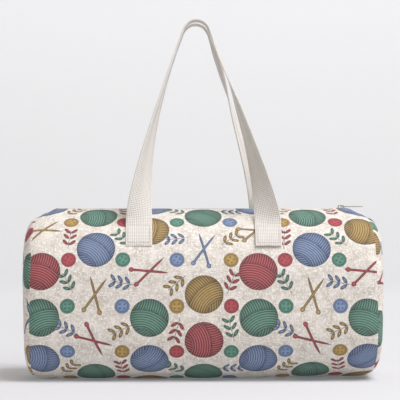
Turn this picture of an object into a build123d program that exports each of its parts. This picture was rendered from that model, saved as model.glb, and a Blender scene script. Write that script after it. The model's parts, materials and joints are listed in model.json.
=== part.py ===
from build123d import *
import os
from math import acos, cos, hypot, pi, radians, sin

# Knitting bag: a zipped fabric duffel with two webbing shoulder straps.
# Millimetres, +Z up, length along X, front face towards -Y.
# The origin is on the table under the middle of the bag.

# ---------------------------------------------------------------- driving sizes
bag_depth = 240.0         # front to back at the widest
bag_height = 246.0        # table to the zip
shoulder_radius = 100.0   # upper front and back edges of the barrel
hem_radius = 80.0         # lower front and back edges
seam_x = 243.0            # end seams, either side of the middle
end_bulge = 16.0          # how far an end panel stands out past its seam

panel_thickness = 2.0     # printed canvas with its padding
lining_thickness = 1.0
bottom_half_width = 60.0  # bottom panel, from the middle to its front seam

zip_slot = 7.0            # from the zip's middle line to the folded cloth edge
flap_fold = 60.0          # from the zip's middle line to the line a mouth flap folds on
flap_half_length = 130.0
cut = 0.4                 # clearance round a piece that moves

coil_inner = 0.6          # zip coil, measured out from the zip's middle line
coil_outer = 3.0
coil_low = 243.5
coil_high = 246.1
coil_end = 212.0
tape_outer = 16.0
tape_low = 243.2
tape_end = 232.0

slider_x = 205.0          # the slider parks here when the bag is shut
slider_length = 13.0
slider_width = 10.0
plate_thickness = 1.3
bridge_width = 1.6
bridge_top = 251.4
pull_axis_z = 249.3
pull_length = 32.0

strap_width = 38.0        # cotton webbing
strap_thickness = 2.5
strap_foot_x = 92.5       # middle of each sewn end
sewn_low = 28.0           # degrees round the shoulder where a sewn end starts
sewn_high = 49.5          # and where it stops
hinge_degrees = 51.5      # the strap bends here as it falls
hinge_lift = 2.75         # the bend line above the bag's face
strap_lean = 11.9         # degrees that a raised strap leans towards the zip
loop_start = 3.2          # from the bend line to the free webbing
loop_set_back = 1.0       # the free webbing runs this far behind the bend line
leg_height = 286.0        # straight-ish part of the loop, up to its bend
bend_left_x = -27.5       # where the bend at the top starts and ends
bend_right_x = 9.5
bend_rise = 13.5
twist_power = 2.4         # how soon a leg turns edge-on as it climbs


# ---------------------------------------------------------------- helpers
def block(x0, x1, y0, y1, z0, z1):
    """A box between the given limits."""
    centre = Pos((x0 + x1) / 2, (y0 + y1) / 2, (z0 + z1) / 2)
    return centre * Box(x1 - x0, y1 - y0, z1 - z0)


def outline(inset):
    """The barrel's cross-section, taken in by inset, as a face across X."""
    face = Pos(0, bag_height / 2) * Rectangle(bag_depth - 2 * inset, bag_height - 2 * inset)
    face = fillet(face.vertices().group_by(Axis.Y)[-1], shoulder_radius - inset)
    face = fillet(face.vertices().group_by(Axis.Y)[0], hem_radius - inset)
    return Plane.YZ * face


def prism(inset, x0, x1):
    """The taken-in cross-section carried from x0 to x1."""
    return Pos(x0, 0, 0) * extrude(outline(inset), amount=x1 - x0)


def tube(inset, thickness, x0, x1):
    """A tube of cloth whose outside is the outline taken in by inset."""
    return prism(inset, x0, x1) - prism(inset + thickness, x0 - 1, x1 + 1)


def both_sides(solid):
    """A solid and its mirror image across the zip."""
    return [solid, mirror(solid, Plane.XZ)]


def both_ends(solid):
    """A solid and its mirror image across the bag's middle."""
    return [solid, mirror(solid, Plane.YZ)]


# ---------------------------------------------------------------- barrel
def barrel_front(inset, thickness):
    """The front half of the barrel's cloth: one piece with a cut-out for the mouth flap."""
    cloth = tube(inset, thickness, -seam_x, seam_x)
    middle = bag_height / 2
    wall = block(-seam_x, seam_x, -bag_depth, -bottom_half_width, -1, bag_height + 1)
    strips = block(-seam_x, seam_x, -bottom_half_width, -zip_slot, middle, bag_height + 1)
    window = block(-flap_half_length - cut, flap_half_length + cut, -flap_fold, 0, middle, bag_height + 1)
    return cloth & (wall + strips - window)


def bottom_cloth(inset, thickness):
    """The strip under the bag, between the front and back seams."""
    cloth = tube(inset, thickness, -seam_x, seam_x)
    return cloth & block(-seam_x, seam_x, -bottom_half_width, bottom_half_width, -1, bag_height / 4)


def mouth_flap():
    """The front lip of the mouth, which folds up along its outer edge."""
    cloth = tube(0, panel_thickness, -flap_half_length, flap_half_length)
    fold_edge = -flap_fold + cut
    return cloth & block(-seam_x, seam_x, fold_edge, -zip_slot, bag_height / 2, bag_height + 1)


def base_board():
    """The stiff sheet that lies on the bottom lining."""
    low = panel_thickness + lining_thickness
    board = block(-seam_x + 14, seam_x - 14, -38, 38, low, low + 2.5)
    return fillet(board.edges().filter_by(Axis.Z), 12)


# ---------------------------------------------------------------- ends
def dome(inset):
    """The ball that an end panel's bulge is cut from."""
    corner = hypot(bag_depth / 2 - shoulder_radius, bag_height / 2 - shoulder_radius) + shoulder_radius
    drop = end_bulge - 3
    ball_radius = (corner ** 2 + drop ** 2) / (2 * drop)
    return Pos(seam_x + end_bulge - ball_radius, 0, bag_height / 2) * Sphere(ball_radius - inset)


def end_cloth(inset, thickness):
    """The right end panel: a shallow cap whose rim meets the barrel at the seam."""
    reach = seam_x + 2 * end_bulge
    outer = prism(inset, seam_x, reach) & dome(inset)
    inner = prism(inset + thickness, seam_x - 1, reach) & dome(inset + thickness)
    return outer - inner


def seam_binding():
    """The tape that covers the raw edges inside the right end seam."""
    inside = panel_thickness + lining_thickness
    return tube(inside, 1.5, seam_x - 9, seam_x - 1)


# ---------------------------------------------------------------- zip
def coil_half(x0, x1):
    """The front half of the zip's coil, as its outer shape."""
    return block(x0, x1, -coil_outer, -coil_inner, coil_low, coil_high)


def tape_half(x0, x1):
    """The front half of the zip's tape, under the folded cloth edge."""
    return block(x0, x1, -tape_outer, -coil_outer, tape_low, bag_height - panel_thickness)


def bottom_stop():
    """The clamp across both coils at the left end."""
    return block(-coil_end - 3, -coil_end, -coil_outer, coil_outer, tape_low - 0.4, coil_high + 0.8)


def top_stop():
    """The clamp on the front coil's right end."""
    return block(coil_end, coil_end + 3, -coil_outer, -coil_inner, tape_low - 0.4, coil_high + 0.8)


def end_tab():
    """The folded strip of cloth that closes the right end of the zip."""
    tab = block(217, seam_x + 1, -14, 14, bag_height, bag_height + 1.2)
    return fillet(tab.edges().filter_by(Axis.Z), 2)


def slider_plate(width, low, nose):
    """One plate of the slider: wide in front, with its rear corners taken off."""
    half = slider_length / 2
    rear = width / 2 - nose
    points = [(-half, -rear), (half - 4, -width / 2), (half, -width / 2 + 2)]
    points += [(x, -y) for x, y in reversed(points)]
    face = make_face(Polyline(*points, close=True))
    return Pos(slider_x, 0, low) * extrude(face, amount=plate_thickness)


def zip_slider():
    """Two plates joined by the thin wedge that parts the coils."""
    top = slider_plate(slider_width, coil_high + 0.3, 1.4)
    low = tape_low - 0.3 - plate_thickness
    bottom = slider_plate(slider_width - 1.2, low, 1.4)
    wedge = block(slider_x + 1.5, slider_x + 5.5, -0.25, 0.25, low + 0.5, coil_high + 1)
    return top + bottom + wedge


def slider_bridge():
    """The arch on the slider that holds the pull."""
    foot_z = coil_high + 0.3 + plate_thickness
    arch = block(slider_x - 4.6, slider_x + 4.6, -bridge_width / 2, bridge_width / 2, foot_z, bridge_top)
    arch = fillet(arch.edges().filter_by(Axis.Y).group_by(Axis.Z)[-1], 1.6)
    gap = block(slider_x - 3.2, slider_x + 3.2, -bridge_width, bridge_width, foot_z - 1, bridge_top - 1.2)
    return arch - gap


def zip_pull():
    """The pull tab with the small bar that turns under the bridge."""
    bar = Pos(slider_x, 0, pull_axis_z) * Rot(90, 0, 0) * Cylinder(0.6, 4.6)
    arm = block(slider_x - 0.6, slider_x + 9, 1.2, 2.3, pull_axis_z - 0.6, pull_axis_z + 0.6)
    plate = block(slider_x + 6.5, slider_x + pull_length, -4, 4, pull_axis_z - 0.6, pull_axis_z + 0.6)
    plate = fillet(plate.edges().filter_by(Axis.Z), 2.2)
    eye = Pos(slider_x + pull_length - 6, 0, pull_axis_z) * Cylinder(2, 4)
    return bar + both_sides(arm) + plate - eye


# ---------------------------------------------------------------- straps
def shoulder_band(r0, r1, low_degrees, high_degrees, width):
    """A strip bent round the front shoulder, between two radii and two angles."""
    middle_y = -bag_depth / 2 + shoulder_radius
    middle_z = bag_height - shoulder_radius
    ring = Circle(r1) - Circle(r0)
    corners = [(0, 0)]
    for degrees in (low_degrees, high_degrees):
        angle = radians(180 - degrees)
        corners.append((2 * r1 * cos(angle), 2 * r1 * sin(angle)))
    sector = ring & make_face(Polyline(*corners, close=True))
    band = extrude(Plane.YZ * Pos(middle_y, middle_z) * sector, amount=width / 2, both=True)
    return band


def sewn_ends(r0, thickness, low_degrees, high_degrees, width):
    """The same bent strip under both legs of the front strap."""
    band = shoulder_band(r0, r0 + thickness, low_degrees, high_degrees, width)
    return [Pos(x, 0, 0) * band for x in (-strap_foot_x, strap_foot_x)]


def hinge_line():
    """Y and Z of the line that the front strap bends on."""
    radius = shoulder_radius + hinge_lift
    y = -bag_depth / 2 + shoulder_radius - radius * cos(radians(hinge_degrees))
    z = bag_height - shoulder_radius + radius * sin(radians(hinge_degrees))
    return y, z


def loop_points(height):
    """Points (x, rise) up the left leg, over the bend and down the right leg.

    Each leg leans in along a power curve; the bend is an arc of an ellipse that meets both."""
    steps = 11
    left = []
    right = []
    for i in range(steps):
        part = i / (steps - 1)
        left.append((-strap_foot_x + (bend_left_x + strap_foot_x) * part ** 1.6, height * part))
        right.append((strap_foot_x + (bend_right_x - strap_foot_x) * part ** 1.5, height * part))
    middle = (bend_left_x + bend_right_x) / 2
    half = (bend_right_x - bend_left_x) / 2
    open_angle = radians(62)
    bend = []
    for i in range(1, 8):
        angle = open_angle * (1 - i / 4)
        fall = (1 - cos(angle)) / (1 - cos(open_angle))
        bend.append((middle - half * sin(angle) / sin(open_angle), height + bend_rise * (1 - fall)))
    return left + bend + right[::-1]


def strap_loop(height):
    """The free webbing of the front strap: flat at its feet, edge-on at the top."""
    lean = Vector(0, sin(radians(strap_lean)), cos(radians(strap_lean)))
    back = Vector(0, lean.Z, -lean.Y)
    level = Vector(0, 1, 0)
    hinge_y, hinge_z = hinge_line()
    start = Vector(0, hinge_y, hinge_z) + lean * loop_start + back * loop_set_back
    points = loop_points(height)
    places = [start + Vector(1, 0, 0) * x + lean * rise for x, rise in points]
    sections = []
    for i, (x, rise) in enumerate(points):
        before = places[max(i - 1, 0)]
        after = places[min(i + 1, len(places) - 1)]
        along = (after - before).normalized()
        turned = 1 - (1 - min(rise / height, 1)) ** twist_power
        angle = radians(90 * turned)
        edge_on = back * (1 - turned) + level * turned
        across = along.cross(back) * -cos(angle) + edge_on * sin(angle)
        across = (across - along * across.dot(along)).normalized()
        plane = Plane(origin=places[i], x_dir=across, z_dir=along)
        sections.append(plane * Rectangle(strap_width, strap_thickness))
    return loft(sections, ruled=True), places


def run_length(places):
    """The length of the line through the given places."""
    return sum((b - a).length for a, b in zip(places, places[1:]))


# ---------------------------------------------------------------- the nodes
def make_nodes():
    """Every piece of the bag by name; a group of like pieces is a list."""
    nodes = {}
    nodes["front_panel"], nodes["back_panel"] = both_sides(barrel_front(0, panel_thickness))
    nodes["bottom_panel"] = bottom_cloth(0, panel_thickness)
    nodes["right_end_panel"], nodes["left_end_panel"] = both_ends(end_cloth(0, panel_thickness))
    lining = (panel_thickness, lining_thickness)
    nodes["front_lining"], nodes["back_lining"] = both_sides(barrel_front(*lining) - tape_room())
    nodes["bottom_lining"] = bottom_cloth(*lining)
    nodes["right_end_lining"], nodes["left_end_lining"] = both_ends(end_cloth(*lining))
    nodes["right_seam_binding"], nodes["left_seam_binding"] = both_ends(seam_binding() - tape_room())
    nodes["base_board"] = base_board()

    nodes["front_mouth_flap"], nodes["back_mouth_flap"] = both_sides(mouth_flap())
    long_tape = tape_half(-flap_half_length, flap_half_length)
    long_coil = coil_half(-flap_half_length, flap_half_length)
    nodes["front_zip_tape"], nodes["back_zip_tape"] = both_sides(long_tape)
    nodes["front_zip_coil"], nodes["back_zip_coil"] = both_sides(long_coil)
    right_tape, left_tape = both_ends(tape_half(flap_half_length + cut, tape_end))
    right_coil, left_coil = both_ends(coil_half(flap_half_length + cut, coil_end))
    nodes["right_zip_tape_end"] = both_sides(right_tape)
    nodes["left_zip_tape_end"] = both_sides(left_tape)
    nodes["right_zip_coil_end"] = both_sides(right_coil)
    nodes["left_zip_coil_end"] = both_sides(left_coil)
    nodes["zip_bottom_stop"] = bottom_stop()
    nodes["zip_top_stops"] = both_sides(top_stop())
    nodes["right_zip_end_tab"], nodes["left_zip_end_tab"] = both_ends(end_tab())
    nodes["zip_slider"] = zip_slider()
    nodes["slider_bridge"] = slider_bridge()
    nodes["zip_pull"] = zip_pull()

    ends = sewn_ends(shoulder_radius, strap_thickness, sewn_low, sewn_high, strap_width)
    inside = shoulder_radius - panel_thickness - lining_thickness
    backing = sewn_ends(inside - 1, 1, sewn_low - 3, sewn_high + 3, strap_width + 10)
    nodes["front_strap_ends"] = ends
    nodes["back_strap_ends"] = [mirror(piece, Plane.XZ) for piece in ends]
    nodes["front_strap_backing"] = backing
    nodes["back_strap_backing"] = [mirror(piece, Plane.XZ) for piece in backing]
    front_loop, places = strap_loop(leg_height)
    back_loop, _ = strap_loop(leg_height - strap_thickness)
    nodes["front_strap"] = front_loop
    nodes["back_strap"] = mirror(back_loop, Plane.XZ)

    bend_y, bend_z = hinge_line()
    sewn = radians(sewn_high - sewn_low) * (shoulder_radius + strap_thickness / 2)
    print(f"front strap bend line y {bend_y:.2f} z {bend_z:.2f}")
    print(f"front strap loop {run_length(places):.1f} mm, sewn ends {sewn:.1f} mm each")
    return nodes


def tape_room():
    """The space that the zip's tapes and stops take under the mouth's edges."""
    return block(-tape_end - cut, tape_end + cut, -tape_outer - cut, tape_outer + cut, 240, bag_height)


def write(nodes):
    """One STEP file for each piece."""
    os.makedirs("parts", exist_ok=True)
    for name, shape in nodes.items():
        solid = Compound(children=shape) if isinstance(shape, list) else shape
        solid.label = name
        export_step(solid, f"parts/{name}.step")


write(make_nodes())
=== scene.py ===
"""Looks of the knitting bag: a zipped duffel of printed canvas with two webbing shoulder straps.

Lengths are millimetres until a mesh is written, where they become metres. +Z is up, the bag lies along
X and its front faces -Y. The cloth is described flat: u runs along the bag from its middle, and v runs
from the zip's middle line over the shoulder, down the front and under the bag.
"""
import bmesh
import bpy
import json
import numpy as np
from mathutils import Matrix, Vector


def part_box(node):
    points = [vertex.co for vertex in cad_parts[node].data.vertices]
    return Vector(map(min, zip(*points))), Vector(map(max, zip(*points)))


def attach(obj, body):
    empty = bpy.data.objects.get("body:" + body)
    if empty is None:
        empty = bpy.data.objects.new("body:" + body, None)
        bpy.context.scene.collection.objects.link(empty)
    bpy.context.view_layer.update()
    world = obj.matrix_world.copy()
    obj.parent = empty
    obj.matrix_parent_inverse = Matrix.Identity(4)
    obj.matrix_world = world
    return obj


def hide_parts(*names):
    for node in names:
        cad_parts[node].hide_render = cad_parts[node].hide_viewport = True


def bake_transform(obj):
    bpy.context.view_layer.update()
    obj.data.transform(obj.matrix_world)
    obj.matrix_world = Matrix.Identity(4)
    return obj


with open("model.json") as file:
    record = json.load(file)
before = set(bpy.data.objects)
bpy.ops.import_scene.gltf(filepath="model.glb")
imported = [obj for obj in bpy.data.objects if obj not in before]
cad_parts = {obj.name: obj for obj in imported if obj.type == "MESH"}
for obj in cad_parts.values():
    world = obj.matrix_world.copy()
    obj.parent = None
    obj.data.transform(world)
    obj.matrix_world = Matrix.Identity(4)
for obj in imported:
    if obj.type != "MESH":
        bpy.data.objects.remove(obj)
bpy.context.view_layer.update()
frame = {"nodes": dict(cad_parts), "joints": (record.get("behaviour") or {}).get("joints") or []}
MM = 0.001

# ---------------------------------------------------------------- camera
camera_distance = 3.105   # metres from the bag's middle plane
camera_height = 0.259
camera_side = -0.0757
aim_x = -0.003


def make_camera():
    """A long lens in front of the bag, level with its zip and a little to the left."""
    data = bpy.data.cameras.new("camera")
    data.lens = 189.5
    data.sensor_width = 36.0
    camera = bpy.data.objects.new("camera", data)
    camera.location = (camera_side, -camera_distance, camera_height)
    aim = Vector((aim_x, 0, camera_height)) - camera.location
    camera.rotation_euler = aim.to_track_quat("-Z", "Y").to_euler()
    bpy.context.scene.collection.objects.link(camera)
    bpy.context.scene.camera = camera


make_camera()

# ---------------------------------------------------------------- sizes, from the frame


def box(node):
    """A CAD node's lowest and highest corners, in millimetres."""
    low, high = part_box(node)
    return np.array(low) / MM, np.array(high) / MM


def joint_place(name):
    """Where a joint's axis is, in millimetres."""
    found = [joint for joint in frame["joints"] if joint["name"] == name]
    return np.array(found[0]["pos_m"]) / MM


half_length = box("front_panel")[1][0]
half_depth = -box("front_panel")[0][1]
bag_height = box("front_panel")[1][2]
end_reach = box("right_end_panel")[1][0]
shoulder = 100.0          # radius of the upper front and back edges
hem = 80.0                # radius of the lower ones
zip_edge = 7.0            # from the zip's middle line to the folded cloth edge
canvas_thickness = 2.0
widest_seam = 248.0       # end seams at mid height, from the bag's middle
seam_depth = 4.0          # how deep the end seams pull the cloth in
lining_inset = 3.2
bottom_seam_out = 60.0    # the base's two long seams, from the middle plane
bag_middle = (0, 0, 120)

coil_end = box("zip_top_stops")[0][0]
coil_z = (box("front_zip_coil")[0][2] + box("front_zip_coil")[1][2]) / 2
tape_top = box("front_zip_tape")[1][2] - 1.0

strap_width = 38.0
strap_thickness = 2.5
strap_foot = 92.5         # middle of each sewn end, from the bag's middle
sewn_low = np.radians(28.0)    # round the shoulder, where a sewn end starts
sewn_high = np.radians(49.5)
strap_lean = np.radians(11.9)  # a raised strap leans towards the zip
bend_line = joint_place("front_handle_swing")
fold_line = joint_place("front_flap_fold")
leg_height = 286.0        # a leg's rise, up to the bend at the top
bend_left = -27.5         # where that bend starts and ends
bend_right = 9.5
bend_rise = 13.5
hidden_drop = 2.5         # the back strap stands this much lower

flat_top = half_depth - shoulder
wall = bag_height - shoulder - hem
fold_v = flat_top + shoulder * np.arcsin((-fold_line[1] - flat_top) / shoulder)
hem_v = flat_top + shoulder * np.pi / 2 + wall
half_girth = hem_v + hem * np.pi / 2 + half_depth - hem
bottom_seam_v = hem_v + hem * np.arccos((bottom_seam_out - half_depth + hem) / hem)


# ---------------------------------------------------------------- small tools
def smooth(t):
    """0 below 0, 1 above 1, and an S curve between."""
    t = np.clip(t, 0, 1)
    return t * t * (3 - 2 * t)


def rgb(code):
    """An sRGB hex colour as three numbers from 0 to 1."""
    return np.array([int(code[i:i + 2], 16) / 255 for i in (1, 3, 5)])


def linear(colour):
    """sRGB to linear light: a power curve with a straight foot."""
    colour = np.asarray(colour, float)
    return np.where(colour < 0.04045, colour / 12.92, ((colour + 0.055) / 1.055) ** 2.4)


def paint(code):
    """A hex colour as linear red, green, blue and a full alpha."""
    return [float(c) for c in linear(rgb(code))] + [1.0]


def grid_faces(rows, columns, wrap_rows=False, wrap_columns=False):
    """The squares of a grid of points, as numbers of their four corners."""
    i = np.arange(rows if wrap_rows else rows - 1)[:, None]
    j = np.arange(columns if wrap_columns else columns - 1)[None, :]
    below, beside = (i + 1) % rows, (j + 1) % columns
    corners = [i * columns + j, i * columns + beside, below * columns + beside, below * columns + j]
    return np.stack(np.broadcast_arrays(*corners), axis=-1).reshape(-1, 4)


def facing(points, quads, inside):
    """The squares, turned over if they face the point called inside more than away from it."""
    corner = points[quads]
    normal = np.cross(corner[:, 2] - corner[:, 0], corner[:, 3] - corner[:, 1])
    away = (normal * (corner.mean(axis=1) - inside)).sum()
    return quads if away > 0 else quads[:, ::-1]


def make_mesh(name, points, quads, material, uv=None, values=None, merge=False):
    """A smooth mesh of squares with its material, flat map and point attributes."""
    mesh = bpy.data.meshes.new(name)
    mesh.from_pydata((points * MM).tolist(), [], quads.tolist())
    mesh.polygons.foreach_set("use_smooth", np.ones(len(mesh.polygons), bool))
    if uv is not None:
        corner = np.zeros(len(mesh.loops), np.int32)
        mesh.loops.foreach_get("vertex_index", corner)
        mesh.uv_layers.new(name="cloth").data.foreach_set("uv", uv[corner].ravel())
    for key, value in (values or {}).items():
        kind = "FLOAT" if value.ndim == 1 else "FLOAT_COLOR"
        field = "value" if value.ndim == 1 else "color"
        mesh.attributes.new(key, kind, "POINT").data.foreach_set(field, value.astype(np.float32).ravel())
    mesh.materials.append(material)
    if merge:
        close_mesh(mesh)
    piece = bpy.data.objects.new(name, mesh)
    bpy.context.scene.collection.objects.link(piece)
    return piece


def close_mesh(mesh):
    """Joins points that lie together, and removes what shrinks to nothing."""
    work = bmesh.new()
    work.from_mesh(mesh)
    bmesh.ops.remove_doubles(work, verts=work.verts, dist=1e-6)
    work.to_mesh(mesh)
    work.free()


def surface(name, points, material, inside, uv=None, values=None, wrap=(False, False), merge=False):
    """A grid of points, rows by columns by 3, as a mesh that faces away from the point called inside."""
    rows, columns = points.shape[:2]
    flat = points.reshape(-1, 3)
    quads = facing(flat, grid_faces(rows, columns, *wrap), np.array(inside, float))
    return make_mesh(name, flat, quads, material, uv, values, merge)


def capped(sections):
    """Rings of points with a middle point, as a ring of no size, added before and after them."""
    first = np.broadcast_to(sections[:1].mean(axis=1, keepdims=True), sections[:1].shape)
    last = np.broadcast_to(sections[-1:].mean(axis=1, keepdims=True), sections[-1:].shape)
    return np.concatenate([first, sections, last])


def swept(spine, across, up, profile):
    """A profile carried along a path: each point is the path's place, plus the profile's two distances
    along the path's own across and up directions."""
    shift = across[:, None] * profile[None, :, :1] + up[:, None] * profile[None, :, 1:]
    return spine[:, None] + shift


def directions(spine, level):
    """Along, across and up directions of a path whose across is as near to level as it can be."""
    along = np.gradient(spine, axis=0)
    along /= np.linalg.norm(along, axis=1, keepdims=True)
    across = level - along * (along * level).sum(axis=1, keepdims=True)
    across /= np.linalg.norm(across, axis=1, keepdims=True)
    return along, across, np.cross(along, across)


def rounded_bar(width, thickness, steps=6):
    """The outline of a flat bar with half-round edges, as pairs of distances."""
    t = np.linspace(-np.pi / 2, np.pi / 2, steps)
    r = thickness / 2
    edge = np.stack([width / 2 - r + r * np.cos(t), r * np.sin(t)], axis=1)
    return np.concatenate([edge, -edge])


def joined(name, pieces):
    """Several meshes as one."""
    work = bmesh.new()
    for piece in pieces:
        work.from_mesh(piece.data)
    mesh = pieces[0].data.copy()
    work.to_mesh(mesh)
    work.free()
    mesh.name = name
    whole = bpy.data.objects.new(name, mesh)
    bpy.context.scene.collection.objects.link(whole)
    for piece in pieces:
        bpy.data.objects.remove(piece)
    return whole


# ---------------------------------------------------------------- materials
def add(tree, kind, sockets, **settings):
    """Adds one node with its settings and what its sockets hold or are linked from, by name or number.

    It returns the node's first output that is in use."""
    node = tree.nodes.new("ShaderNode" + kind)
    for key, value in settings.items():
        setattr(node, key, value)
    for key, value in sockets.items():
        found = [s for s in node.inputs if s.enabled and s.name == key] or [node.inputs[key]]
        if isinstance(value, bpy.types.NodeSocket):
            tree.links.new(value, found[0])
        else:
            found[0].default_value = value
    return next((s for s in node.outputs if s.enabled), None)


def new_material(name):
    """An empty material and its node tree."""
    material = bpy.data.materials.new(name)
    material.use_nodes = True
    material.node_tree.nodes.clear()
    return material, material.node_tree


def finish_material(tree, shader):
    """Links a shader to the material's surface."""
    add(tree, "OutputMaterial", {"Surface": shader})


def woven(tree, place, pitch, across=1.0):
    """Height of a plain weave of threads pitch mm apart: two crossed waves, each seen where it is on top.

    Returns the height, 0 in the holes and 1 on the crowns."""
    split = add(tree, "SeparateXYZ", {"Vector": place})
    x = add(tree, "Math", {0: split, 1: 2 * np.pi / (pitch * across)}, operation="MULTIPLY")
    y = add(tree, "Math", {0: split.node.outputs["Y"], 1: 2 * np.pi / pitch}, operation="MULTIPLY")
    warp = add(tree, "Math", {0: x}, operation="COSINE")
    weft = add(tree, "Math", {0: y}, operation="COSINE")
    both = add(tree, "Math", {0: warp, 1: weft}, operation="ADD")
    return add(tree, "MapRange", {"Value": both, "From Min": -2.0, "From Max": 1.2})


def cloth_place(tree):
    """The flat map of a piece of cloth, in millimetres."""
    return add(tree, "UVMap", {}, uv_map="cloth")


def linen_ground(tree, place):
    """The print's ground: slubbed linen drawn as pale flecks along and across, over mottled warm grey.

    The flecks are noise stretched 3 to 1, about 2 mm by 6 mm, one set each way."""
    scratches = []
    for stretch in ((1.0, 0.34, 1.0), (0.34, 1.0, 1.0)):
        turned = add(tree, "Mapping", {"Vector": place, "Scale": stretch})
        noise = add(tree, "TexNoise", {"Vector": turned, "Scale": 0.5, "Detail": 3.0, "Roughness": 0.65})
        scratches.append(add(tree, "MapRange", {"Value": noise, "From Min": 0.50, "From Max": 0.66,
                                                "To Max": 1.0}, interpolation_type="SMOOTHSTEP"))
    pale = add(tree, "Math", {0: scratches[0], 1: scratches[1]}, operation="MAXIMUM")
    clouds = add(tree, "TexNoise", {"Vector": place, "Scale": 0.06, "Detail": 5.0, "Roughness": 0.6})
    clouds = add(tree, "MapRange", {"Value": clouds, "From Min": 0.35, "From Max": 0.65})
    base = add(tree, "Mix", {"Factor": clouds, "A": paint("#CAC1B6"), "B": paint("#E9E3DC")},
               data_type="RGBA")
    return add(tree, "Mix", {"Factor": pale, "A": base, "B": paint("#FAF7F1")}, data_type="RGBA")


def printed_canvas():
    """Cotton canvas, plain woven and digitally printed: matt, with a fine weave, and ink that sinks in.

    The motifs come from the cloth's own attributes: how deep a point is inside a motif, its ink, and the
    count of the strands drawn in it. Ink edges are a little darker, as pigment gathers there."""
    material, tree = new_material("printed_canvas")
    place = cloth_place(tree)
    ground = linen_ground(tree, place)
    depth = add(tree, "Attribute", {}, attribute_name="motif_depth").node.outputs["Fac"]
    ink = add(tree, "Attribute", {}, attribute_name="ink")
    threads = ink.node.outputs["Alpha"]
    strand = add(tree, "Attribute", {}, attribute_name="strand").node.outputs["Fac"]
    share = add(tree, "Math", {0: strand, 1: 1.0}, operation="FLOORED_MODULO")
    off = add(tree, "Math", {0: share, 1: 0.5}, operation="SUBTRACT")
    off = add(tree, "Math", {0: off}, operation="ABSOLUTE")
    groove = add(tree, "MapRange", {"Value": off, "From Min": 0.27, "From Max": 0.47, "To Max": 0.85},
                 interpolation_type="SMOOTHSTEP")
    groove = add(tree, "Math", {0: groove, 1: threads}, operation="MULTIPLY")
    shine = add(tree, "MapRange", {"Value": off, "From Min": 0.12, "From Max": 0.0, "To Max": 0.3},
                interpolation_type="SMOOTHSTEP")
    shine = add(tree, "Math", {0: shine, 1: threads}, operation="MULTIPLY")
    blots = add(tree, "TexNoise", {"Vector": place, "Scale": 0.22, "Detail": 4.0, "Roughness": 0.65})
    wash = add(tree, "MapRange", {"Value": blots, "From Min": 0.3, "From Max": 0.7,
                                  "To Min": 0.88, "To Max": 1.14})
    ink = add(tree, "VectorMath", {0: ink, "Scale": wash}, operation="SCALE")
    deep = add(tree, "VectorMath", {0: ink, "Scale": 0.25}, operation="SCALE")
    ink = add(tree, "Mix", {"Factor": groove, "A": ink, "B": deep}, data_type="RGBA")
    ink = add(tree, "Mix", {"Factor": shine, "A": ink, "B": paint("#E9E4DC")}, data_type="RGBA")
    rim = add(tree, "MapRange", {"Value": depth, "From Min": 1.1, "From Max": 0.2, "To Max": 0.6})
    ink = add(tree, "Mix", {"Factor": rim, "A": ink, "B": deep}, data_type="RGBA")
    cover = add(tree, "MapRange", {"Value": depth, "From Min": -0.35, "From Max": 0.35, "To Max": 0.96})
    colour = add(tree, "Mix", {"Factor": cover, "A": ground, "B": ink}, data_type="RGBA")
    weave = woven(tree, place, 1.3)
    slub = add(tree, "TexNoise", {"Vector": place, "Scale": 0.9, "Detail": 2.0})
    # painted shade: the weave's holes are darkened towards a dull brown
    hole_shade = add(tree, "MapRange", {"Value": weave, "From Min": 0.5, "From Max": 0.0, "To Max": 0.16})
    colour = add(tree, "Mix", {"Factor": hole_shade, "A": colour, "B": paint("#8A7F70")}, data_type="RGBA")
    height = add(tree, "Math", {0: weave, 1: slub}, operation="ADD")
    bump = add(tree, "Bump", {"Height": height, "Strength": 0.25, "Distance": 0.0004})
    rough = add(tree, "MapRange", {"Value": slub, "To Min": 0.78, "To Max": 0.95})
    shader = add(tree, "BsdfPrincipled", {"Base Color": colour, "Roughness": rough, "Normal": bump,
                                          "Sheen Weight": 0.06, "Sheen Roughness": 0.5, "IOR": 1.5,
                                          "Specular IOR Level": 0.2})
    finish_material(tree, shader)
    return material


def woven_cloth(name, light, dark, pitch, across, depth):
    """A plain or ribbed woven cloth of one colour, with pale crowns, holes darkened by painted shade, and
    slubs along the threads.
    """
    material, tree = new_material(name)
    place = cloth_place(tree)
    weave = woven(tree, place, pitch, across)
    long_slub = add(tree, "Mapping", {"Vector": place, "Scale": (1.0, 0.12, 1.0)})
    slub = add(tree, "TexNoise", {"Vector": long_slub, "Scale": 0.6, "Detail": 3.0})
    # painted shade: the weave's holes take the dark colour and its crowns the light one
    weave_shade = add(tree, "MapRange", {"Value": weave, "From Min": 0.0, "From Max": 0.75},
                interpolation_type="SMOOTHSTEP")
    colour = add(tree, "Mix", {"Factor": weave_shade, "A": paint(dark), "B": paint(light)}, data_type="RGBA")
    tint = add(tree, "MapRange", {"Value": slub, "From Min": 0.3, "From Max": 0.75, "To Max": 0.22})
    colour = add(tree, "Mix", {"Factor": tint, "A": colour, "B": paint(dark)}, data_type="RGBA")
    height = add(tree, "Math", {0: weave, 1: slub}, operation="ADD")
    bump = add(tree, "Bump", {"Height": height, "Strength": 0.5, "Distance": depth})
    shader = add(tree, "BsdfPrincipled", {"Base Color": colour, "Roughness": 0.88, "Normal": bump,
                                          "Sheen Weight": 0.2, "Sheen Roughness": 0.45,
                                          "Specular IOR Level": 0.2})
    finish_material(tree, shader)
    return material


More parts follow.
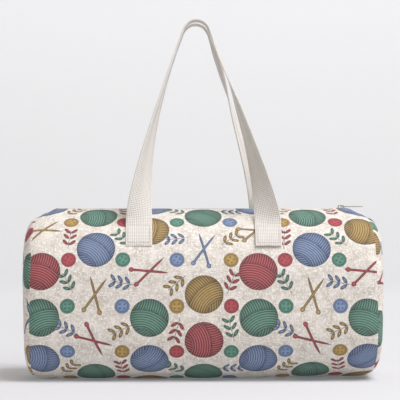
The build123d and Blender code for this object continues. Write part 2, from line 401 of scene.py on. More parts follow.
def nylon_coil():
    """Nylon monofilament, wound and heat set: smooth and slightly clear, with a soft bright line."""
    material, tree = new_material("nylon_coil")
    place = add(tree, "TexCoord", {}).node.outputs["Object"]
    noise = add(tree, "TexNoise", {"Vector": place, "Scale": 900.0, "Detail": 2.0})
    colour = add(tree, "Mix", {"Factor": noise, "A": paint("#D9D2C6"), "B": paint("#E8E3DA")},
                 data_type="RGBA")
    rough = add(tree, "MapRange", {"Value": noise, "To Min": 0.28, "To Max": 0.42})
    shader = add(tree, "BsdfPrincipled", {"Base Color": colour, "Roughness": rough, "IOR": 1.53,
                                          "Subsurface Weight": 0.05})
    finish_material(tree, shader)
    return material


def nickel_plate():
    """Zinc casting with bright nickel plate, tumbled: pale warm metal with faint scuffs."""
    material, tree = new_material("nickel_plate")
    place = add(tree, "TexCoord", {}).node.outputs["Object"]
    scuffs = add(tree, "TexNoise", {"Vector": place, "Scale": 420.0, "Detail": 5.0, "Roughness": 0.7})
    colour = add(tree, "Mix", {"Factor": scuffs, "A": paint("#C9C5BC"), "B": paint("#E2DED6")},
                 data_type="RGBA")
    rough = add(tree, "MapRange", {"Value": scuffs, "From Min": 0.3, "From Max": 0.7,
                                   "To Min": 0.2, "To Max": 0.38})
    bump = add(tree, "Bump", {"Height": scuffs, "Strength": 0.12, "Distance": 0.0002})
    shader = add(tree, "BsdfPrincipled", {"Base Color": colour, "Metallic": 1.0, "Roughness": rough,
                                          "Normal": bump})
    finish_material(tree, shader)
    return material


def moulded_board():
    """Polypropylene sheet, extruded with a leather grain: dull, with shallow pebbles 1 to 2 mm across."""
    material, tree = new_material("polypropylene_board")
    place = add(tree, "TexCoord", {}).node.outputs["Object"]
    pebbles = add(tree, "TexVoronoi", {"Vector": place, "Scale": 620.0})
    noise = add(tree, "TexNoise", {"Vector": place, "Scale": 60.0, "Detail": 3.0})
    colour = add(tree, "Mix", {"Factor": noise, "A": paint("#1F1F21"), "B": paint("#29292B")},
                 data_type="RGBA")
    bump = add(tree, "Bump", {"Height": pebbles, "Strength": 0.3, "Distance": 0.0004})
    rough = add(tree, "MapRange", {"Value": noise, "To Min": 0.5, "To Max": 0.65})
    shader = add(tree, "BsdfPrincipled", {"Base Color": colour, "Roughness": rough, "Normal": bump,
                                          "IOR": 1.49})
    finish_material(tree, shader)
    return material


def sewing_thread():
    """Polyester thread, twisted: a slight gloss, with fine slanted plies 0.5 mm apart and painted shade
    between them.
    """
    material, tree = new_material("polyester_thread")
    place = add(tree, "TexCoord", {}).node.outputs["Object"]
    plies = add(tree, "TexWave", {"Vector": place, "Scale": 600.0, "Distortion": 1.0},
                bands_direction="DIAGONAL")
    # painted shade: the colour is darker in the grooves between the plies
    colour = add(tree, "Mix", {"Factor": plies, "A": paint("#CFC7BA"), "B": paint("#E6E0D6")},
                 data_type="RGBA")
    bump = add(tree, "Bump", {"Height": plies, "Strength": 0.3, "Distance": 0.0002})
    shader = add(tree, "BsdfPrincipled", {"Base Color": colour, "Roughness": 0.5, "Normal": bump})
    finish_material(tree, shader)
    return material


canvas = printed_canvas()
# each cloth's darker colour is the painted shade in its weave's holes, and also the tint of its slubs
lining = woven_cloth("cotton_lining", "#E4DDD0", "#C6BCAB", 0.9, 1.0, 0.0002)
webbing = woven_cloth("cotton_webbing", "#EEEBE7", "#B5ACA0", 2.6, 1.0, 0.0009)
binding = woven_cloth("cotton_binding_tape", "#E9E3D8", "#CBC1B1", 0.8, 1.6, 0.0003)
zip_tape = woven_cloth("polyester_zip_tape", "#E3DDD2", "#C4BBAC", 0.7, 1.4, 0.0003)
coil = nylon_coil()
nickel = nickel_plate()
board = moulded_board()
thread = sewing_thread()


# ---------------------------------------------------------------- the print
def shaded(code_a, code_b, share):
    """The colour part of the way from a to b, with share an array."""
    share = np.clip(share, 0, 1)[:, None]
    return rgb(code_a) * (1 - share) + rgb(code_b) * share


def placed(u, v, place, degrees):
    """Distances from a motif's middle, turned so that p runs along the motif and q up across it."""
    a = np.radians(degrees)
    du, dv = u - place[0], place[1] - v
    return du * np.cos(a) + dv * np.sin(a), dv * np.cos(a) - du * np.sin(a)


def plain(p):
    """No strands: their count and how strongly they show."""
    return np.zeros(p.shape), np.zeros(p.shape)


def wool_ball(p, q, size, yarn, dark):
    """A round ball of wool: arcs about a point on its left lie over arcs about a point above it."""
    x, y = 2 * p / size, 2 * q / size
    r = np.hypot(x, y)
    over_arcs = np.hypot(x + 1.5, y + 0.3)
    under_arcs = np.hypot(x - 0.2, y - 1.6)
    on_top = 0.5 - np.abs(over_arcs - 1.4)
    strand = 8 * np.where(on_top > 0, over_arcs, under_arcs)
    tone = 0.1 + 0.5 * r ** 4 + 0.4 * np.exp(-np.abs(on_top) * 14)
    return (1 - r) * size / 2, shaded(yarn, dark, tone), strand, np.ones(p.shape)


def needles(p, q, size, stick, dark):
    """Two plain needles that cross at their middles, each a rod tapered to a point with a round knob."""
    edge = np.full(p.shape, -9.0)
    for lean in np.radians((-25, 25)):
        x = p * np.cos(lean) + q * np.sin(lean)
        w = q * np.cos(lean) - p * np.sin(lean)
        rod = np.where(np.abs(x) < size / 2, 1.7 * np.clip((size / 2 - x) / 14, 0, 1) - np.abs(w), -9)
        knob = 3.4 - np.hypot(x + size / 2 - 4, w)
        edge = np.max([edge, rod, knob], axis=0)
    return edge, shaded(stick, dark, 1.1 - edge / 1.4), *plain(p)


def button(p, q, size, light, dark):
    """A plain round button with a darker ring inside its rim and four holes."""
    r = 2 * np.hypot(p, q) / size
    holes = 1.6 - np.hypot(np.abs(p) - 0.14 * size, np.abs(q) - 0.14 * size)
    ring = np.exp(-((r - 0.74) / 0.07) ** 2)
    tone = 0.5 * ring + np.clip(holes, 0, 1) + 0.3 * r ** 5
    return (1 - r) * size / 2, shaded(light, dark, tone), *plain(p)


def leaves(p, q, size, leaf, dark):
    """A straight stem along p with three pairs of plain oval leaves."""
    edge = np.where(np.abs(p) < size / 2, 0.5 - np.abs(q), -9)
    for root in size * np.array((-0.3, 0.0, 0.3)):
        x, w = p - root - 0.12 * size, np.abs(q) - 0.15 * size
        along, across = 0.7 * (x + w), 0.7 * (w - x)
        edge = np.maximum(edge, (1 - np.hypot(along / (0.17 * size), across / (0.07 * size))) * 0.07 * size)
    return edge, shaded(leaf, dark, 0.9 - edge / 2), *plain(p)


# The print is an even half drop: big motifs stand in columns, every second one half a row lower, and
# small ones between the columns. Sizes in mm. Each motif is a plain stock one, in a plain colour.
column_pitch = 76.0
row_pitch = 66.0
repeat_columns = repeat_rows = 4
ball_size = 54.0
needle_length = 60.0
button_size = 21.0
stem_length = 34.0
wools = [("#B5505A", "#5F2028"), ("#5F9484", "#1B3C33"), ("#7F95BA", "#26385C"), ("#B99A5A", "#4E3B1C")]


def half_drop():
    """One repeat of the print: what is drawn, its middle, its turn in degrees, its size and its inks."""
    found = []
    for column in range(repeat_columns):
        for row in range(repeat_rows):
            across, down = column_pitch * column, row_pitch * (row + 0.5 * (column % 2))
            big, size = (needles, needle_length) if (column + row) % 3 == 2 else (wool_ball, ball_size)
            big_inks, button_inks, leaf_inks = (wools[n % len(wools)] for n in (
                2 * column + row, column + row + 1, column + row + 2))
            found.append((big, (across, down), 40 * row - 20 * column, size, big_inks))
            between = across + column_pitch / 2
            level = row_pitch * (row + 0.25)
            found.append((button, (between, level), 30 * row, button_size, button_inks))
            level += row_pitch / 2
            found.append((leaves, (between, level), 50 * column + 35 * row, stem_length, leaf_inks))
    return found


def drawn(u, v):
    """The print at flat places (u, v): depth inside the nearest motif, its ink and its strands' count.

    Each motif is worked out only near where it stands, in every repeat that the cloth reaches. The ink's
    fourth number is how strongly its strands show."""
    edge = np.full(u.shape, -9.0)
    ink = np.tile(np.append(rgb("#CFC5B8"), 0), (len(u), 1))
    strand = np.zeros(u.shape)
    for draw, place, degrees, size, inks in half_drop():
        for across in range(-3, 3):
            for down in range(-2, 4):
                middle = (place[0] + across * repeat_columns * column_pitch,
                          place[1] + down * repeat_rows * row_pitch)
                near = np.flatnonzero(np.hypot(u - middle[0], v - middle[1]) < 0.62 * size)
                if len(near) == 0:
                    continue
                p, q = placed(u[near], v[near], middle, degrees)
                depth, colour, lines, threads = draw(p, q, size, *inks)
                better = depth > edge[near]
                at = near[better]
                edge[at], strand[at] = depth[better], lines[better]
                ink[at] = np.hstack([colour, threads[:, None]])[better]
    return edge, ink, strand


def print_values(flat):
    """The print's point attributes at flat places."""
    depth, ink, strand = drawn(flat[:, 0], flat[:, 1])
    return {"motif_depth": depth, "ink": np.hstack([linear(ink[:, :3]), ink[:, 3:]]), "strand": strand}


def soft(name, points, material, first, second, inside=bag_middle, **closing):
    """A surface of cloth with its flat map, two distances at each point, and the print if it is canvas."""
    flat = np.stack(np.broadcast_arrays(first, second), axis=-1).reshape(-1, 2)
    values = print_values(flat) if material is canvas else None
    return surface(name, points, material, inside, flat, values, **closing)


# ---------------------------------------------------------------- the shape of the cloth
def section(v):
    """The bag's outline across its length: distance out from the zip's plane, height, and the angle that
    the cloth's outside has turned from straight up, v mm along the cloth from the zip.

    A level top, a quarter circle for the shoulder, a straight wall, a quarter circle for the hem and a
    level bottom."""
    a = np.clip((v - flat_top) / shoulder, 0, np.pi / 2)
    b = np.clip((v - hem_v) / hem, 0, np.pi / 2)
    down = np.clip(v - flat_top - shoulder * np.pi / 2, 0, wall)
    under = np.clip(v - hem_v - hem * np.pi / 2, 0, None)
    out = np.minimum(v, flat_top) + shoulder * np.sin(a) - hem * (1 - np.cos(b)) - under
    up = bag_height - shoulder * (1 - np.cos(a)) - down - hem * np.sin(b)
    return out, up, a + b


def seam_reach(up):
    """How far out an end seam is at a height: widest at 100 mm, in by powers of the distance from there."""
    above = np.clip((up - 100) / 140, 0, None)
    below = np.clip((100 - up) / 98, 0, None)
    return widest_seam - 4 * above - 5 * above ** 10 - 4 * below ** 8


def end_sag(x):
    """How far the top hangs down near the ends: past the zip's stops, and again just before the seams."""
    return 6.5 * smooth((np.abs(x) - coil_end - 1) / 16) + 2 * smooth((np.abs(x) - 228) / 15)


def cloth(u, v, side, inset=0.0):
    """Places of the barrel's cloth at flat (u, v), on the front (side 1) or the back (side -1).

    The outline is carried along X and stretched to the seams' curve. Towards a seam the cloth dives in as
    a falling exponential, with puckers that are waves along the seam. Broad slow waves show that it is
    soft, and the zip's ends and the right end of the hem are lifted or let down by S curves."""
    out, up, turn = section(v)
    x = u / half_length * seam_reach(up)
    gap = half_length - np.abs(u)
    dive = seam_depth * np.exp(-(gap / 7.5) ** 1.25)
    wave = np.sin(v / 6.3 + 2.2 * np.sin(v / 27 + np.sign(u)) + side) + 0.6 * np.sin(v / 3.4 + np.sign(u) * 2)
    pucker = 0.75 * wave * np.exp(-gap / 15) * (1 - np.exp(-(gap / 4) ** 2))
    calm = smooth((v - fold_v - 4) / 60) * smooth((hem_v + 60 - v) / 90)
    broad = (np.sin(x / 47 + 1.3 * side + v / 61) + 0.8 * np.sin(x / 83 - v / 39 + side)
             + 0.5 * np.sin(x / 23 + v / 90))
    full = 2.2 * np.cos(np.pi * u / half_length / 2) * smooth((v - 150) / 60) * smooth((330 - v) / 80)
    shift = full + 0.8 * broad * calm + pucker - dive - inset
    lift = (3.2 + 1.8 * side) * smooth((x - 20) / 220) * smooth((out - 5) / 60) * smooth((70 - up) / 70)
    sink = end_sag(x) * smooth((80 - out) / 60) * smooth((up - 150) / 60)
    y = -side * (out + shift * np.sin(turn))
    z = up + shift * np.cos(turn) - sink + lift
    return np.stack(np.broadcast_arrays(x, y, z), axis=-1)


def panel(name, side, step, shift_u):
    """The front or back cloth, from the fold under the mouth's lip, down and round to the bottom seam."""
    u = np.arange(-half_length, half_length + step / 2, step)
    u = np.linspace(-half_length, half_length, len(u))
    v = np.linspace(fold_v, bottom_seam_v, int((bottom_seam_v - fold_v) / step))
    u, v = np.meshgrid(u, v)
    return soft(name, cloth(u, v, side), canvas, side * u + shift_u, v)


def lip(name, side, end, shift_u):
    """Half of one edge of the mouth: canvas from the fold line to the zip, rolled under there and brought
    back. Its profile runs out over the top, round a half circle and home; a stitched channel dips it."""
    rows = 42
    u = end * np.linspace(0, half_length, 150)
    outer = np.linspace(fold_v, zip_edge + 1, rows)
    r = canvas_thickness / 2
    turn = np.linspace(np.pi / 2, -np.pi / 2, 7)[1:-1]
    v = np.concatenate([outer, zip_edge + 1 - r * np.cos(turn), outer[::-1]])
    depth = np.concatenate([np.zeros(rows), r - r * np.sin(turn), np.full(rows, 2 * r)])
    channel = 0.35 * np.exp(-((v - zip_edge - 4) / 1.1) ** 2) * (depth < r)
    crown = 0.9 * np.sin(np.pi * np.clip((v - zip_edge) / (fold_v - zip_edge), 0, 1)) ** 2
    v, u = np.meshgrid(v, u)
    inset = np.broadcast_to(depth + channel - crown, u.shape)
    points = capped(cloth(u, v, side, inset))
    u, v = (np.concatenate([a[:1], a, a[-1:]]) for a in (u, v))
    return soft(name, points, canvas, side * u + shift_u, v, (0, 0, 0), wrap=(False, True), merge=True)


def bottom_cloth(name, inset, material, step):
    """The cloth under the bag, from the front seam to the back one."""
    u = np.linspace(-half_length, half_length, int(2 * half_length / step))
    w = np.linspace(bottom_seam_v, 2 * half_girth - bottom_seam_v, int(124 / step))
    u, w = np.meshgrid(u, w)
    front = w < half_girth
    points = np.where(front[..., None], cloth(u, np.minimum(w, half_girth), 1, inset),
                      cloth(u, 2 * half_girth - np.maximum(w, half_girth), -1, inset))
    return soft(name, points, material, u, w)


def end_cap(name, end, inset, material, rings, turns, shift_u, shift_v):
    """An end panel: rings that shrink from the seam's curve to the middle and bulge out as a power curve,
    swelling a little past the seam's groove first.

    Puckers fan in from the seam, as waves round the rim that fade with a high power of the ring."""
    w = np.linspace(-half_girth, half_girth, turns, endpoint=False)
    side = np.where(w < 0, -1.0, 1.0)
    rim = cloth(np.full(turns, end * half_length), np.abs(w), side, inset)
    share = (1 - np.linspace(0, 1, rings) ** 1.5)[:, None]
    middle = np.array([0, 118.0])
    swell = share * (1 + 0.09 * share ** 6 * (1 - share ** 10))
    across = middle + (rim[None, :, 1:] - middle) * swell[..., None]
    far = end_reach + 0.5 - inset
    x = far - (far - np.abs(rim[None, :, 0])) * share ** 8
    wave = np.sin(w / 6.3 + 2.2 * np.sin(w / 27)) + 0.6 * np.sin(w / 3.4 + 2)
    x = x - 0.8 * (1 + wave) * share ** 12 * (1 - share ** 50)
    x = x + 1.2 * np.sin(across[..., 0] / 31 + 1) * np.sin(across[..., 1] / 37) * (1 - share ** 3)
    points = np.concatenate([end * x[..., None], across], axis=-1)
    return soft(name, points, material, end * across[..., 0] + shift_u,
                bag_height - across[..., 1] + shift_v, wrap=(False, True), merge=True)


def lining_panel(name, side):
    """The lining behind the front or back cloth, from the fold line to the bottom seam."""
    u = np.linspace(-half_length, half_length, 110)
    v = np.linspace(fold_v - 0.5, bottom_seam_v, 70)
    u, v = np.meshgrid(u, v)
    creases = 0.5 * np.sin(u / 19 + v / 45) * smooth((v - fold_v) / 40)
    points = cloth(u, v, side, lining_inset + creases)
    return soft(name, points, lining, u, v)


def seam_tape(name, end):
    """The folded tape over the raw edges inside an end seam: a flat bar carried round the seam's inside."""
    w = np.linspace(-half_girth, half_girth, 260, endpoint=False)
    side = np.where(w < 0, -1.0, 1.0)
    gap = 6.0
    spine = cloth(np.full(len(w), end * (half_length - gap)), np.abs(w), side, lining_inset + 1.6)
    ring = np.concatenate([spine[-1:], spine, spine[:1]])
    level = np.broadcast_to([1.0, 0.0, 0.0], ring.shape)
    _, across, up = directions(ring, level)
    profile = rounded_bar(9.0, 1.6)
    points = swept(spine, across[1:-1], up[1:-1], profile)
    return soft(name, points, binding, profile[None, :, 0], w[:, None], (0, 0, 0), wrap=(True, True))


def strap_backing(name, side):
    """Two patches of lining inside the bag that spread each strap's pull: padded squares on the shoulder."""
    patches = []
    low, high = (flat_top + shoulder * (np.pi / 2 - angle) for angle in (sewn_high + 0.05, sewn_low - 0.05))
    half = 24.0
    for foot in (-strap_foot, strap_foot):
        u = foot + np.linspace(-half, half, 34)
        v = np.linspace(low, high, 34)
        u, v = np.meshgrid(u, v)
        edge = np.minimum(half - np.abs(u - foot), np.minimum(v - low, high - v))
        raised = 1.0 * (1 - np.exp(-edge / 0.8)) - 0.45 * np.exp(-((edge - 3.5) / 0.8) ** 2)
        points = cloth(u, v, side, lining_inset + 0.9 + raised)
        patches.append(soft(name, points, lining, u, v))
    return joined(name, patches)


# ---------------------------------------------------------------- straps
def strap_path(height, sway):
    """The middle line of one raised strap, the share of the way up at each place, and the leg's side.

    From a sewn end on the shoulder's arc the webbing bends up, and each leg leans in along a power curve;
    the bend at the top is an arc of an ellipse. The joints between them are rounded by averaging."""
    radius = shoulder + strap_thickness / 2 + 0.2
    angle = np.linspace(sewn_low, sewn_high, 24)
    still = np.zeros(len(angle))
    arc_y = -half_depth + shoulder - radius * np.cos(angle)
    arc_z = bag_height - shoulder + radius * np.sin(angle)
    lean = np.array([0, np.sin(strap_lean), np.cos(strap_lean)])
    set_back = np.array([0, np.cos(strap_lean), -np.sin(strap_lean)])
    start = np.array([0, bend_line[1], bend_line[2]]) + 3.2 * lean + set_back
    part = np.linspace(0.015, 1, 140)
    left_x = -strap_foot + (bend_left + strap_foot) * part ** 1.6
    right_x = strap_foot + (bend_right - strap_foot) * part ** 1.33 - sway * np.sin(np.pi * part) ** 2
    open_angle = np.radians(62)
    sweep = np.linspace(open_angle, -open_angle, 42)[1:-1]
    middle, half = (bend_left + bend_right) / 2, (bend_right - bend_left) / 2
    top_x = middle - half * np.sin(sweep) / np.sin(open_angle)
    top_rise = height + bend_rise * (np.cos(sweep) - np.cos(open_angle)) / (1 - np.cos(open_angle))
    x = np.concatenate([left_x, top_x, right_x[::-1]])
    rise = np.concatenate([height * part, top_rise, height * part[::-1]])
    loop = start + rise[:, None] * lean + x[:, None] * np.array([1.0, 0, 0])
    foot = np.stack([still, arc_y, arc_z], axis=-1)
    left = foot - np.array([strap_foot, 0, 0])
    right = foot[::-1] + np.array([strap_foot, 0, 0])
    spine = np.concatenate([left, loop, right])
    climb = np.concatenate([still, np.minimum(rise / height, 1), still])
    leg = np.concatenate([still - 1, np.sign(x - middle), still + 1])
    return evenly(spine, climb, leg)


def evenly(spine, climb, leg, step=1.9, spread=4):
    """A path and what goes with it at even steps, with its corners rounded by a moving average."""
    run = np.concatenate([[0], np.cumsum(np.linalg.norm(np.diff(spine, axis=0), axis=1))])
    at = np.linspace(0, run[-1], int(run[-1] / step))
    even = np.stack([np.interp(at, run, spine[:, k]) for k in range(3)], axis=1)
    weights = np.hanning(2 * spread + 3)[1:-1]
    padded = np.concatenate([2 * even[:1] - even[spread:0:-1], even, 2 * even[-1:] - even[-2:-spread - 2:-1]])
    even = np.stack([np.convolve(padded[:, k], weights / weights.sum(), "valid") for k in range(3)], axis=1)
    return even, np.interp(at, run, climb), np.interp(at, run, leg), at


def webbing_profile():
    """The webbing's outline: a flat bar with half-round edges, ribbed by its 13 cords on both faces."""
    w = np.linspace(-strap_width / 2 + 1, strap_width / 2 - 1, 79)
    rib = 0.10 * np.cos(2 * np.pi * 13 * w / strap_width)
    face = np.stack([w, strap_thickness / 2 - 0.12 + rib], axis=1)
    t = np.linspace(np.pi / 2, -np.pi / 2, 7)[1:-1]
    edge = np.stack([strap_width / 2 - 1 + 1.0 * np.cos(t), (strap_thickness / 2 - 0.1) * np.sin(t)], axis=1)
    return np.concatenate([face, edge, -face, -edge])


def strap(name, side, height, sway):
    """One shoulder strap with its sewn ends, as a ribbed bar carried along its path.

    It lies flat on the shoulder, then turns edge-on as it climbs: a quarter turn that is fast at first."""
    spine, climb, leg, run = strap_path(height, sway)
    level = np.broadcast_to([0.0, 1.0, 0.0], spine.shape)
    along, edge_on, _ = directions(spine, level)
    flat_on = np.cross(edge_on, along)
    turn = np.pi / 2 * (1 - (1 - climb) ** 2.2) ** 0.7
    over = np.radians(9) * smooth((climb - 0.55) / 0.25) * smooth((1 - climb) / 0.15) * (leg > 0)
    turn = (turn + over)[:, None]
    across = flat_on * np.cos(turn) + edge_on * np.sin(turn)
    up = np.cross(across, along)
    profile = webbing_profile()
    points = swept(spine, across, up, profile)
    ends = 0.6 * np.exp(-np.minimum(run, run[-1] - run) / 1.2)
    points = points - up[:, None] * np.sign(profile[None, :, 1:]) * ends[:, None, None]
    points[..., 1] *= side
    points = capped(points)
    run = np.concatenate([run[:1], run, run[-1:]])
    return soft(name, points, webbing, profile[None, :, 0], run[:, None], (0, 0, 0),
                wrap=(False, True), merge=True)


def stitch(start, stop, out):
    """One stitch: a thread bowed up between two holes, five places long and five round."""
    t = np.linspace(0, 1, 5)[:, None]
    spine = start + (stop - start) * t + out * (0.45 * np.sin(np.pi * t) - 0.1)
    _, across, up = directions(spine, np.cross(stop - start, out) * np.ones((5, 1)))
    around = np.linspace(0, 2 * np.pi, 5, endpoint=False)
    ring = 0.32 * np.stack([np.cos(around), np.sin(around)], axis=1)
    return swept(spine, across, up, ring)


def box_stitching(name, side):
    """The seam that holds a strap's two sewn ends: a box of stitches on each."""
    threads = []
    radius = shoulder + strap_thickness + 0.15
    low, high = sewn_low + 0.05, sewn_high - 0.02
    half, stitch_length = 15.5, 3.4
    corners = [(-half, low), (half, low), (half, high), (-half, high), (-half, low)]
    for foot in (-strap_foot, strap_foot):
        for (x0, a0), (x1, a1) in zip(corners, corners[1:]):
            length = np.hypot(x1 - x0, radius * (a1 - a0))
            count = max(2, round(length / stitch_length))
            ends = np.linspace(0, 1, count + 1)
            x, a = foot + x0 + (x1 - x0) * ends, a0 + (a1 - a0) * ends
            out = np.stack([0 * a, -np.cos(a), np.sin(a)], axis=1)
            centre = np.stack([x, 0 * a - half_depth + shoulder, 0 * a + bag_height - shoulder], axis=1)
            place = centre + radius * out
            for i in range(count):
                gap = (place[i + 1] - place[i]) * 0.1
                threads.append(stitch(place[i] + gap, place[i + 1] - gap, out[i]))
    return thread_piece(name, threads, side)


def thread_piece(name, threads, side=1):
    """Many stitches as one mesh."""
    points = np.stack(threads)
    points[..., 1] *= side
    count, rows, columns = points.shape[:3]
    quads = grid_faces(rows, columns, wrap_columns=True)
    quads = (quads[None] + (np.arange(count) * rows * columns)[:, None, None]).reshape(-1, 4)
    flat = points.reshape(-1, 3)
    return make_mesh(name, flat, facing(flat, quads, flat.mean(axis=0)), thread)


def lip_stitching(name, side, end):
    """The row of stitches along half of the mouth's edge, 4 mm from its fold."""
    u = end * np.arange(1.0, half_length - 3, 3.2)
    place = cloth(u, np.full(len(u), zip_edge + 4), side, 0.05)
    out = np.array([0, 0, 1.0])
    threads = [stitch(a + (b - a) * 0.1, b - (b - a) * 0.1, out) for a, b in zip(place, place[1:])]
    return thread_piece(name, threads)


# ---------------------------------------------------------------- zip
def zip_coil(name, side, end):
    """Half of one side of the zip's coil: a helix of thread, flattened, with its turns 2 mm apart."""
    pitch, centre, half_width, half_height = 2, side * 1.75, 1.45, 0.85
    t = np.arange(0, int(coil_end / pitch), 1 / 10)
    angle = 2 * np.pi * t
    spine = np.stack([end * (t * pitch + 0.5 * (side > 0)), centre + half_width * np.cos(angle),
                      coil_z + half_height * np.sin(angle)], axis=1)
    _, across, up = directions(spine, np.broadcast_to([1.0, 0, 0.01], spine.shape))
    around = np.linspace(0, 2 * np.pi, 6, endpoint=False)
    ring = 0.42 * np.stack([np.cos(around), np.sin(around)], axis=1)
    points = capped(swept(spine, across, up, ring))
    return surface(name, points, coil, (0, 0, 0), wrap=(False, True), merge=True)


def tape(name, side, end):
    """Half of one side of the zip's tape: a thin bar with half-round edges under the mouth's edge."""
    x = end * np.linspace(0, seam_reach(bag_height) - 2, 90)
    width, thickness, middle = 13.0, 0.7, side * 9.5
    spine = np.stack([x, 0 * x + middle, 0 * x + tape_top - thickness / 2], axis=1)
    spine[:, 2] -= end_sag(x)
    level = np.broadcast_to([0.0, 1.0, 0.0], spine.shape)
    _, across, up = directions(spine, level)
    profile = rounded_bar(width, thickness)
    points = capped(swept(spine, across, up, profile))
    run = np.concatenate([x[:1], x, x[-1:]])
    return soft(name, points, zip_tape, profile[None, :, 0], run[:, None], (0, 0, 0),
                wrap=(False, True), merge=True)


def end_tab(name, end):
    """The folded strip of canvas over an end of the zip: a soft bar that follows the top down to the seam."""
    start, half = coil_end + 3.5, 14.0
    x = np.linspace(start, seam_reach(bag_height) + 1, 26)
    w = np.linspace(-half, half, 30)
    x, w = np.meshgrid(x, w)
    edge = np.minimum(half - np.abs(w), x - start)
    raised = 1.3 * (1 - np.exp(-edge / 0.7)) - 0.3 * np.exp(-((edge - 2.2) / 0.6) ** 2)
    points = np.stack([end * x, w, bag_height - end_sag(x) - 0.6 + raised], axis=-1)
    return soft(name, points, canvas, x, w + 150)


# ---------------------------------------------------------------- putting it together
def rides(piece, body, slot, *nodes):
    """A piece moves with a body and stands for CAD nodes, which are hidden. The slot is not used."""
    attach(piece, body)
    if nodes:
        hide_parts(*nodes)
    return piece


def bends(piece, body, slot, start, end, *nodes):
    """A piece whose place is fixed into its points; it stands for CAD nodes, which are hidden. The body,
    start and end are not used.
    """
    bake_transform(piece)
    if nodes:
        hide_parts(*nodes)
    return piece


opening_starts = 215.0    # how far out the mouth's edges would start to lift,
opening_ends = 115.0      # and where in they would move with the lips' strips; bends does not use either

for word, side, step, shift_u in (("front", 1, 1.28, 0.0), ("back", -1, 1.7, 96.0)):
    shell = rides(panel(f"{word}_cloth", side, step, shift_u), "bag", "printed_canvas", f"{word}_panel")
    inner = rides(lining_panel(f"{word}_lining_cloth", side), "bag", "lining_cloth", f"{word}_lining")
    rides(strap_backing(f"{word}_strap_patches", side), "bag", "lining_cloth", f"{word}_strap_backing")
    for end, end_word in ((-1, "left"), (1, "right")):
        edge = lip(f"{word}_mouth_edge_{end_word}", side, end, shift_u)
        where = ((end * opening_starts, 0, 0), (end * opening_ends, 0, 0))
        bends(edge, f"{word}_flap", "printed_canvas", *where, f"{word}_mouth_flap")
        seam = lip_stitching(f"{word}_mouth_stitches_{end_word}", side, end)
        bends(seam, f"{word}_flap", "printed_canvas", *where)
        band = tape(f"{word}_tape_{end_word}", -side, end)
        bends(band, f"{word}_flap", "zip_tape", *where, f"{word}_zip_tape", f"{end_word}_zip_tape_end")
        teeth = zip_coil(f"{word}_coil_{end_word}", -side, end)
        bends(teeth, f"{word}_flap", "zip_coil", *where, f"{word}_zip_coil", f"{end_word}_zip_coil_end")
    height, sway = (leg_height, 0) if side == 1 else (leg_height - hidden_drop, 6)
    sling = strap(f"{word}_webbing", side, height, sway)
    foot_top = np.array([0, side * bend_line[1], bend_line[2]])
    away = np.array([0, side * np.sin(strap_lean), np.cos(strap_lean)])
    bends(sling, f"{word}_handle", "webbing", foot_top - 3 * away, foot_top + 30 * away,
          f"{word}_strap", f"{word}_strap_ends")
    rides(box_stitching(f"{word}_strap_stitches", side), "bag", "webbing")

base = rides(bottom_cloth("bottom_cloth", 0.0, canvas, 2.6), "bag", "printed_canvas", "bottom_panel")
inner = bottom_cloth("bottom_lining_cloth", lining_inset, lining, 6.0)
rides(inner, "bag", "lining_cloth", "bottom_lining")

for end, word, shift_u, shift_v in ((-1, "left", -118.0, -21.0), (1, "right", 40.0, 60.0)):
    cap = end_cap(f"{word}_end_cloth", end, 0.0, canvas, 60, 620, shift_u, shift_v)
    rides(cap, "bag", "printed_canvas", f"{word}_end_panel")
    inner = end_cap(f"{word}_end_lining_cloth", end, lining_inset, lining, 16, 120, 0, 0)
    rides(inner, "bag", "lining_cloth", f"{word}_end_lining")
    rides(seam_tape(f"{word}_seam_tape", end), "bag", "binding_tape", f"{word}_seam_binding")
    rides(end_tab(f"{word}_zip_tab", end), "bag", "printed_canvas", f"{word}_zip_end_tab")

for name, finish in (("base_board", board), ("zip_bottom_stop", nickel), ("zip_top_stops", nickel),
                     ("zip_slider", nickel), ("slider_bridge", nickel), ("zip_pull", nickel)):
    frame["nodes"][name].data.materials.clear()
    frame["nodes"][name].data.materials.append(finish)


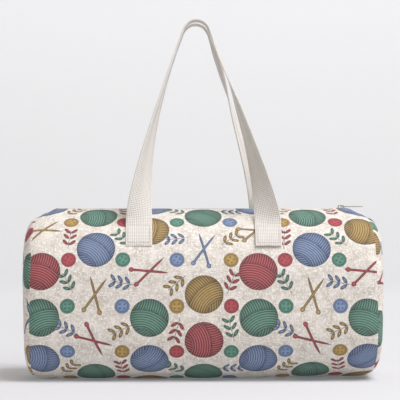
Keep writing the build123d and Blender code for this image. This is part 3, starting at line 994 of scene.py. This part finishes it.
# ---------------------------------------------------------------- stage and light
def make_stage():
    """A pale sweep: floor, a quarter circle, and a wall far behind the bag. The floor is a little darker,
    since it faces the light, and the sweep glows more with distance, so that it looks even."""
    far, radius, top, low = 3600, 900, 6000, -0.4
    angle = np.linspace(0, np.pi / 2, 20)[1:]
    floor = np.stack([np.linspace(-6000, far, 30), np.full(30, low)], axis=1)
    bend = np.stack([far + radius * np.sin(angle), low + radius * (1 - np.cos(angle))], axis=1)
    rise = np.stack([np.full(20, far + radius), np.linspace(radius + 20, top, 20)], axis=1)
    line = np.concatenate([floor, bend, rise])[:, None]
    x = np.linspace(-7000, 7000, 12)[None]
    points = np.stack(np.broadcast_arrays(x, line[..., 0], line[..., 1]), axis=-1)
    material, tree = new_material("matt_backdrop_paint")
    place = add(tree, "TexCoord", {}).node.outputs["Object"]
    noise = add(tree, "TexNoise", {"Vector": place, "Scale": 2.0})
    tone = add(tree, "Mix", {"Factor": noise, "A": paint("#E0E0E1"), "B": paint("#E3E3E4")}, data_type="RGBA")
    split = add(tree, "SeparateXYZ", {"Vector": place}).node.outputs
    level = add(tree, "MapRange", {"Value": split["Z"], "From Min": 1.2, "From Max": 0.0})
    tone = add(tree, "Mix", {"Factor": level, "A": tone, "B": paint("#CECED0")}, data_type="RGBA")
    paper = add(tree, "BsdfDiffuse", {"Color": tone})
    distant = add(tree, "MapRange", {"Value": split["Y"], "From Min": 0.0, "From Max": 2.5,
                                     "To Min": 0.12, "To Max": 0.32})
    glow = add(tree, "Emission", {"Color": paint("#F5FAFF"), "Strength": distant})
    finish_material(tree, add(tree, "AddShader", {0: paper, 1: glow}))
    surface("backdrop", points, material, (0, -3000, -4000))


def make_light(name, place, aim, size, power, colour):
    """A square soft light at a place, turned to face a point. Metres and watts."""
    data = bpy.data.lights.new(name, "AREA")
    data.size = size
    data.energy = power
    data.color = linear(rgb(colour))
    light = bpy.data.objects.new(name, data)
    light.location = place
    light.rotation_euler = (Vector(aim) - Vector(place)).to_track_quat("-Z", "Y").to_euler()
    bpy.context.scene.collection.objects.link(light)


def make_lights():
    """Soft studio light: an even warm room, a large key high on the right, a weak fill on the left."""
    world = bpy.data.worlds.new("room")
    bpy.context.scene.world = world
    world.use_nodes = True
    world.node_tree.nodes["Background"].inputs["Color"].default_value = paint("#FFF2E3")
    world.node_tree.nodes["Background"].inputs["Strength"].default_value = 0.36
    make_light("key", (1.8, -1.45, 3.9), (0, 0, 0.15), 3.0, 208, "#FAFBFF")
    make_light("fill", (-1.6, -2.2, 1.2), (0, 0, 0.2), 1.6, 5, "#F4F8FF")
    bpy.context.scene.view_settings.view_transform = "Standard"


make_stage()
make_lights()
